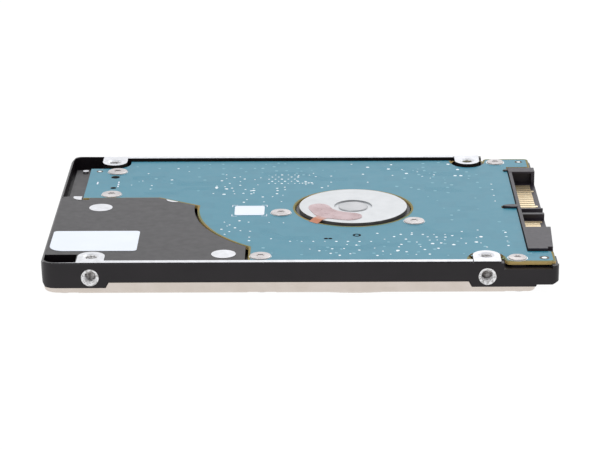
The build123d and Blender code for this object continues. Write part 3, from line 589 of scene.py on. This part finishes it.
def from_pad_hole(middle):
    """How far a point is, seen from above, from the middle of the nearest hole in a pad."""
    return min(math.hypot(middle.x - x, abs(middle.y) - HOLE_Y) for x in HOLES_X)


def is_machined(middle, normal):
    """Faces of the casting that are bare: milled pads with their mouths, rails, spots and the stud."""
    if normal.z > 0.9 and middle.z > DATUM - 0.05:
        return MILLED_X[0] < middle.x < MILLED_X[1]
    if normal.z > 0.9 and abs(middle.z - SPOT_TOP) < 0.02:
        return True
    if math.dist((middle.x, middle.y), LOCATING_STUD) < STUD_LIMIT_R:
        return True
    in_mouth = from_pad_hole(middle) < PAD_MOUTH_LIMIT_R and middle.z > PAD_MOUTH_LIMIT_Z
    return in_mouth and normal.z > 0.1


def is_in_side_hole(middle):
    """True inside one of the four holes in the drive's sides."""
    aside = min(math.hypot(middle.x - x, middle.z - SIDE_HOLE_Z) for x in HOLES_X)
    return aside < SIDE_MOUTH_LIMIT_R and SIDE_BORE_LIMIT_Y < abs(middle.y) < HALF_WIDTH - 0.01


def is_in_pad_hole(middle):
    """True inside the bore of one of the four holes in the pads."""
    return from_pad_hole(middle) < PAD_BORE_LIMIT_R and middle.z > PAD_BORE_LIMIT_Z


def is_bore(middle, normal):
    """Walls of the eight mounting holes, with the mouths of the four in the sides."""
    if is_in_side_hole(middle) and abs(normal.y) < 0.95:
        return True
    return is_in_pad_hole(middle) and abs(normal.z) < 0.5


def is_drilled_end(middle, normal):
    """Flat ends of the eight mounting holes."""
    if is_in_side_hole(middle) and abs(normal.y) > 0.95:
        return True
    return is_in_pad_hole(middle) and middle.z < DATUM - 1.0 and normal.z > 0.5


def is_motor_side(middle, normal):
    """The disc's upright edge, whose black coat is coloured a lighter grey as painted light."""
    return abs(normal.z) < 0.5 and math.hypot(middle.x - SPINDLE.x, middle.y) > MOTOR_R - 0.1


def is_upright(middle, normal):
    """Faces that stand on edge."""
    return abs(normal.z) < 0.5


# ---------------------------------------------------------------- mesh helpers


def new_piece(name, mesh_data, material):
    """Makes an object from a bmesh and puts a material on it."""
    mesh = bpy.data.meshes.new(name)
    mesh_data.to_mesh(mesh)
    mesh_data.free()
    mesh.materials.append(material)
    piece = bpy.data.objects.new(name, mesh)
    bpy.context.scene.collection.objects.link(piece)
    return piece


def finish_piece(name, mesh_data, material):
    """Makes a piece that rides on the casting."""
    piece = new_piece(name, mesh_data, material)
    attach(piece, "chassis")


def circle(radius, sides):
    """Points round a circle."""
    around = [2 * math.pi * i / sides for i in range(sides)]
    return [(radius * math.cos(t), radius * math.sin(t)) for t in around]


def add_loop(mesh, place, radius, z, sides):
    """Vertices round an upright axis."""
    spots = [(place[0] + x, place[1] + y, z) for x, y in circle(radius, sides)]
    return [mesh.verts.new(Vector(spot) * MM) for spot in spots]


def add_wall(mesh, lower, upper):
    """Faces between two loops of the same number of vertices."""
    sides = len(lower)
    for i in range(sides):
        j = (i + 1) % sides
        mesh.faces.new((lower[i], lower[j], upper[j], upper[i]))


def add_stud(mesh, place, radius, height, crown=0.8, sides=20):
    """A low round stud with a bevelled top edge, standing on the board."""
    profile = [(radius, 0), (radius, height * 0.4), (radius * crown, height)]
    loops = [add_loop(mesh, place, r, BOARD_TOP + z, sides) for r, z in profile]
    for lower, upper in zip(loops, loops[1:]):
        add_wall(mesh, lower, upper)
    mesh.faces.new(loops[-1])
    mesh.faces.new(loops[0][::-1])


def add_ring(mesh, place, inner, outer, height, sides=28):
    """A flat washer lying on the board."""
    corners = [(inner, 0), (outer, 0), (outer, height), (inner, height)]
    loops = [add_loop(mesh, place, r, BOARD_TOP + z, sides) for r, z in corners]
    for here, there in zip(loops, loops[1:] + loops[:1]):
        add_wall(mesh, here, there)


def shifted(points, aside):
    """A bent line moved sideways so that every part of it stays parallel."""
    points = [Vector(p) for p in points]
    moved = []
    for i, point in enumerate(points):
        before = (point - points[i - 1]).normalized() if i else (points[1] - point).normalized()
        after = (points[i + 1] - point).normalized() if i + 1 < len(points) else before
        across = Vector((-(before + after).y, (before + after).x)).normalized()
        moved.append(point + across * aside / max(0.5, across.dot(Vector((-before.y, before.x)))))
    return moved


def add_strip(mesh, points, width, base, height):
    """A strip of constant width along a bent line, mitred at its bends."""
    sides = (shifted(points, width / 2), shifted(points, -width / 2))
    rows = []
    for z in (base, base + height):
        for side in sides:
            rows.append([mesh.verts.new((p.x * MM, p.y * MM, z * MM)) for p in side])
    low_left, low_right, top_left, top_right = rows
    for i in range(len(points) - 1):
        mesh.faces.new((top_right[i], top_right[i + 1], top_left[i + 1], top_left[i]))
        mesh.faces.new((low_left[i], low_left[i + 1], low_right[i + 1], low_right[i]))
        mesh.faces.new((top_left[i], top_left[i + 1], low_left[i + 1], low_left[i]))
        mesh.faces.new((low_right[i], low_right[i + 1], top_right[i + 1], top_right[i]))
    for i, turn in ((0, 1), (-1, -1)):
        mesh.faces.new((low_left[i], low_right[i], top_right[i], top_left[i])[::turn])


# ---------------------------------------------------------------- board details


TRIES = 40


def scattered(x0, x1, y0, y1, count, gap):
    """Points strewn over a rectangle, none closer than a gap."""
    found = []
    for _ in range(count * TRIES):
        spot = (random.uniform(x0, x1), random.uniform(y0, y1))
        if len(found) < count and all(math.dist(spot, other) > gap for other in found):
            found.append(spot)
    return found


def lined(start, end, count):
    """Points evenly spaced along a line."""
    start, end = Vector(start), Vector(end)
    return [tuple(start.lerp(end, i / (count - 1))) for i in range(count)]


def via_places():
    """Where the small plated holes are, group by group."""
    places = []
    for row in range(5):
        shift = 0.68 if row % 2 else 0.0
        line = lined((-6.8 + shift, 16.5 + 1.5 * row), (-1.3 + shift, 16.5 + 1.5 * row), 5)
        places += [spot for spot in line if random.random() < 0.92]
    places += lined((-0.3, 16.6), (2.3, 16.9), 5) + [(-5.0, 13.2), (-4.9, 11.6), (-3.4, 13.9), (-3.3, 12.2)]
    places += scattered(-19, -8.5, 9, 23, 24, 1.3) + scattered(-2, 7, 13, 24, 12, 1.5)
    places += scattered(-12, -3, 3, 10.5, 9, 1.6)
    places += lined((-2, -21.0), (14, -21.3), 8)
    places += lined((20, -17.0), (28.8, -17.2), 5)
    places += lined((25.3, -18.6), (28.8, -18.8), 3) + lined((25.6, -20.6), (28.6, -20.4), 3)
    places += scattered(0, 28, -29.8, -23, 22, 1.8) + scattered(14, 30, -24, -16, 8, 1.8)
    places += lined((40.3, 4.0), (40.3, 15.5), 4)
    places += lined((40.9, -16.0), (40.9, -24.0), 4) + scattered(30, 37, -25, -14, 8, 2.2)
    places += scattered(25, 30, 18.0, 27, 4, 1.5) + scattered(10, 22, 15, 30, 6, 2.6)
    places += scattered(-16, -3, -22, -8, 12, 1.8)
    places += lined((-15.4, -9.0), (-12.0, -14.4), 4)
    places += scattered(-36, -23, 12.5, 29, 8, 2.4)
    return places


def faint_places():
    """Where pads lie under the mask and show only as paler spots."""
    places = scattered(-36, -20, 10, 30, 12, 2.4) + scattered(-20, 8, 22, 31, 26, 1.5)
    places += scattered(20, 38, 10, 31, 22, 1.6) + scattered(-8, 38, -30, -20, 26, 1.8)
    places += [(40.6, -15.0), (40.9, -18.6), (41.1, -22.0), (44.5, -28.5), (44.9, -28.5)]
    return places + scattered(26, 42, -14, 14, 12, 2.4) + scattered(24, 31, 16, 29, 9, 1.3)


def clear_of_board_features(spot, margin):
    """True where a mark on the board touches no hole, screw, label or edge."""
    x, y = spot
    if math.hypot(x - SPINDLE.x, y) < BOARD_HOLE_R + margin:
        return False
    if any(math.dist(spot, screw) < SCREW_KEEP_OUT + margin for screw in SCREW_PLACES):
        return False
    in_label = LABEL_LOW.x - margin < x < LABEL_HIGH.x + margin
    return not (in_label and LABEL_LOW.y - margin < y < LABEL_HIGH.y + margin)


def make_vias():
    """Small plated holes, filled with solder."""
    mesh = bmesh.new()
    for spot in via_places():
        if clear_of_board_features(spot, 0.4):
            add_stud(mesh, spot, random.choice((0.16, 0.2, 0.26)), SOLDER_HEIGHT, sides=14)
    finish_piece("board_vias", mesh, SOLDER)


def make_masked_pads():
    """Round pads that lie under the mask."""
    mesh = bmesh.new()
    for spot in faint_places():
        if clear_of_board_features(spot, 0.4):
            add_stud(mesh, spot, random.choice((0.2, 0.3, 0.36)), MARK_HEIGHT, 0.9, 14)
    finish_piece("board_masked_pads", mesh, FAINT)


def make_test_pads():
    """Larger flat pads that a tester's pins press on."""
    mesh = bmesh.new()
    places = scattered(-18, -9, 9, 14, 4, 2.0) + scattered(18, 38, -29, -18, 5, 3.0)
    places += scattered(14, 40, 16, 30, 5, 3.4) + [(33.0, 21.5), (34.2, 21.5)]
    for spot in places:
        if clear_of_board_features(spot, 0.7):
            add_stud(mesh, spot, 0.36, PAD_HEIGHT, 0.9)
    finish_piece("board_test_pads", mesh, SOLDER)


def make_screw_lands():
    """The tinned rings that the board's screws clamp, and the tooling holes' tinned eyelets."""
    mesh = bmesh.new()
    for spot in SCREW_PLACES:
        outer = CORNER_LAND_R if spot[0] > 40 else LAND_R
        add_ring(mesh, spot, outer - LAND_WIDTH, outer, SOLDER_HEIGHT, 40)
    for place, reach in TOOLING_HOLES:
        add_stud(mesh, place, reach * 0.55, EYELET_HEIGHT, 0.85, 28)
    finish_piece("board_screw_lands", mesh, SOLDER)


DARK_SPOTS = [
    ((5.1, -19.4), 0.42),
    ((5.96, -19.4), 0.42),
    ((-39.7, 21.3), 0.87),
    ((-39.6, 13.8), 0.57),
]


def make_dark_marks():
    """An open ring and bare spots where the board's dark core shows, and the tooling holes' rims in dark
    brown, partly painted shade.
    """
    mesh = bmesh.new()
    add_ring(mesh, (11.25, -17.4), 0.42, 0.84, MARK_HEIGHT)
    for place, radius in DARK_SPOTS:
        add_stud(mesh, place, radius, MARK_HEIGHT)
    finish_piece("board_dark_marks", mesh, DARK_MARK)
    mesh = bmesh.new()
    for place, reach in TOOLING_HOLES:
        add_ring(mesh, place, reach * 0.5, reach, RIM_HEIGHT)
    finish_piece("board_hole_rims", mesh, BROWN_RIM_AND_SHADE)


def arc(centre, radius, start, end, count=40):
    """Points along part of a circle, between two directions in degrees."""
    turns = [math.radians(start + (end - start) * i / (count - 1)) for i in range(count)]
    return [(centre[0] + radius * math.cos(t), centre[1] + radius * math.sin(t)) for t in turns]


def make_board_margins():
    """The strip of bare laminate that the blue mask leaves along the board's edges."""
    mesh = bmesh.new()
    width = MARGIN_WIDTH
    add_ring(mesh, (SPINDLE.x, SPINDLE.y), BOARD_HOLE_R, BOARD_HOLE_R + width, MARGIN_HEIGHT, 96)
    bulge_side = [(-45.3, 6.75), (-29.4, 6.75)] + arc((SPINDLE.x, SPINDLE.y), BULGE_EDGE_R, 177.2, 229.2)
    bulge_side += [(-10.1, -24.4), (-10.1, -32.3)]
    add_strip(mesh, shifted(bulge_side, width / 2), width, BOARD_TOP, MARGIN_HEIGHT)
    for side in (-1, 1):
        around_pad = arc((HOLES_X[1], side * HOLE_Y), PAD_EDGE_R, 178 * side, 0, 30)
        tab = [(32.6, side * 32.3)] + [(x, y) for x, y in around_pad if abs(y) < 32.3]
        tab += [(39.7, side * 32.6), (40.3, side * 33.25), (48.7, side * 33.25), (49.35, side * 32.6)]
        tab.append((49.35, side * 27.7))
        add_strip(mesh, shifted(tab, -side * width / 2), width, BOARD_TOP, MARGIN_HEIGHT)
    finish_piece("board_margins", mesh, LAMINATE)


TRACE_BUNDLES = [
    ((-8, 24.5), [(9, 0), (4, -4), (5, 0)], 5),
    ((-19, 8.5), [(0, 3), (3, 3), (0, 6)], 5),
    ((26, 13.5), [(6, 0), (3, -3), (0, -10)], 6),
    ((25, -12), [(4, -4), (7, 0)], 6),
    ((-7, -14), [(4, -4), (5, 0)], 5),
    ((-36, 22), [(7, 0), (4, -4), (8, 0)], 6),
    ((-33, 11), [(6, 0), (3, 3), (5, 0)], 4),
    ((3, -24), [(9, 0), (2, 2), (6, 0)], 5),
    ((17, 28), [(6, 0), (4, -4), (8, 0)], 6),
]


def make_traces():
    """Bundles of parallel traces that run across the board with bends of 45 degrees."""
    mesh = bmesh.new()
    for start, moves, count in TRACE_BUNDLES:
        points = [Vector(start)]
        for move in moves:
            points.append(points[-1] + Vector(move))
        for lane in range(count):
            line = shifted(points, -0.5 * lane)
            if all(clear_of_board_features(p, 0.5) for p in line):
                add_strip(mesh, line, 0.24, BOARD_TOP, TRACE_HEIGHT)
    finish_piece("board_traces", mesh, TRACE)


def add_thread(mesh, centre, axis, depth):
    """Ridges of a screw thread round a bore that starts at a centre and runs along an axis."""
    turn = Vector(axis).to_track_quat("Z", "Y")
    for ridge in range(int(depth / THREAD_PITCH)):
        start = THREAD_START + ridge * THREAD_PITCH
        profile = [
            (HOLE_R, start),
            (HOLE_R - THREAD_HEIGHT, start + THREAD_PITCH / 4),
            (HOLE_R, start + THREAD_PITCH / 2),
        ]
        loops = []
        for radius, z in profile:
            spots = [Vector(centre) + turn @ Vector((x, y, z)) for x, y in circle(radius, 32)]
            loops.append([mesh.verts.new(spot * MM) for spot in spots])
        for lower, upper in zip(loops, loops[1:]):
            add_wall(mesh, upper, lower)


def make_threads():
    """Threads of the eight mounting holes."""
    mesh = bmesh.new()
    for x in HOLES_X:
        for side in (-1, 1):
            mouth = (x, side * (HALF_WIDTH - SIDE_MOUTH_DEPTH), SIDE_HOLE_Z)
            add_thread(mesh, mouth, (0, -side, 0), 2.0)
            add_thread(mesh, (x, side * HOLE_Y, DATUM - 0.1), (0, 0, -1), 1.6)
    finish_piece("mounting_hole_threads", mesh, BORE)


def make_silkscreen():
    """White corner marks around the board's label and a few plain strokes."""
    mesh = bmesh.new()
    out = 0.5
    reach = 1.1
    corners = [
        (LABEL_LOW.x - out, LABEL_LOW.y - out, 1, 1),
        (LABEL_HIGH.x + out, LABEL_LOW.y - out, -1, 1),
        (LABEL_HIGH.x + out, LABEL_HIGH.y + out, -1, -1),
        (LABEL_LOW.x - out, LABEL_HIGH.y + out, 1, -1),
    ]
    for x, y, along, up in corners:
        bracket = [(x + along * reach, y), (x, y), (x, y + up * reach)]
        add_strip(mesh, bracket, 0.14, BOARD_TOP, INK_HEIGHT)
    for x, y, length in [(-38.7, 14.5, 0.8), (-38.7, 15.9, 0.8), (-38.7, 17.3, 0.8), (-43.2, 16.4, 1.6)]:
        add_strip(mesh, [(x, y), (x, y + length)], 0.3, BOARD_TOP, INK_HEIGHT)
    finish_piece("board_silkscreen", mesh, FINISHES["label_paper"])


# ---------------------------------------------------------------- ribbon to the heads


def rounded_path(points, radii, steps=10):
    """A bent line with each of its corners rounded by an arc."""
    points = [Vector(p) for p in points]
    path = [points[0]]
    for before, corner, after, radius in zip(points, points[1:], points[2:], radii):
        into, away = (before - corner).normalized(), (after - corner).normalized()
        half = into.angle(away) / 2
        reach = radius / math.tan(half)
        start, end = corner + into * reach, corner + away * reach
        centre = corner + (into + away).normalized() * radius / math.sin(half)
        for i in range(steps + 1):
            spoke = (start - centre).lerp(end - centre, i / steps).normalized()
            path.append(centre + spoke * radius)
    return path + [points[-1]]


def spaced(path, gap):
    """The same line with points no further apart than a gap."""
    dense = [path[0]]
    for here, there in zip(path, path[1:]):
        count = max(1, math.ceil((there - here).length / gap))
        dense += [here.lerp(there, (i + 1) / count) for i in range(count)]
    return dense


def make_ribbon():
    """The ribbon cable, which bends from its fixed end to the swinging arm."""
    along = Vector((math.cos(PARK_ANGLE), math.sin(PARK_ANGLE)))
    flat = PIVOT + Vector((-along.y, along.x)) * ARM_FLAT
    corners = [flat + along * 2.2, flat - along * 3.6, (-36.4, -8.4), (-39.8, -1.0), (-38.4, 10.9)]
    low, high = node_box("flex_cable")
    mesh = bmesh.new()
    path = spaced(rounded_path(corners, RIBBON_BENDS), 0.4)
    add_strip(mesh, path, RIBBON_THICK, low.z, high.z - low.z)
    ribbon = new_piece("ribbon_cable", mesh, FINISHES["flex_film"])
    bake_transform(ribbon)
    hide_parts("flex_cable")


# ---------------------------------------------------------------- assembly

make_camera()
make_world()
make_light("key", (-0.5, -0.7, 1.1), 0.8)
make_light("back", (0.3, 0.9, 0.9), 1.0)
make_floor()

dress_frame()
paint_faces("base_casting", BARE_METAL, is_machined)
paint_faces("base_casting", BORE, is_bore)
paint_faces("base_casting", DRILLED, is_drilled_end)
# The disc's edge gets a painted-light grey in place of its black coat.
paint_faces("motor_base", MOTOR_SIDE_PAINTED_LIGHT, is_motor_side)
paint_faces("circuit_board", EDGE, is_upright)
make_vias()
make_masked_pads()
make_test_pads()
make_screw_lands()
make_dark_marks()
make_board_margins()
make_traces()
make_threads()
make_silkscreen()
make_ribbon()

bpy.context.scene.view_settings.view_transform = "Standard"
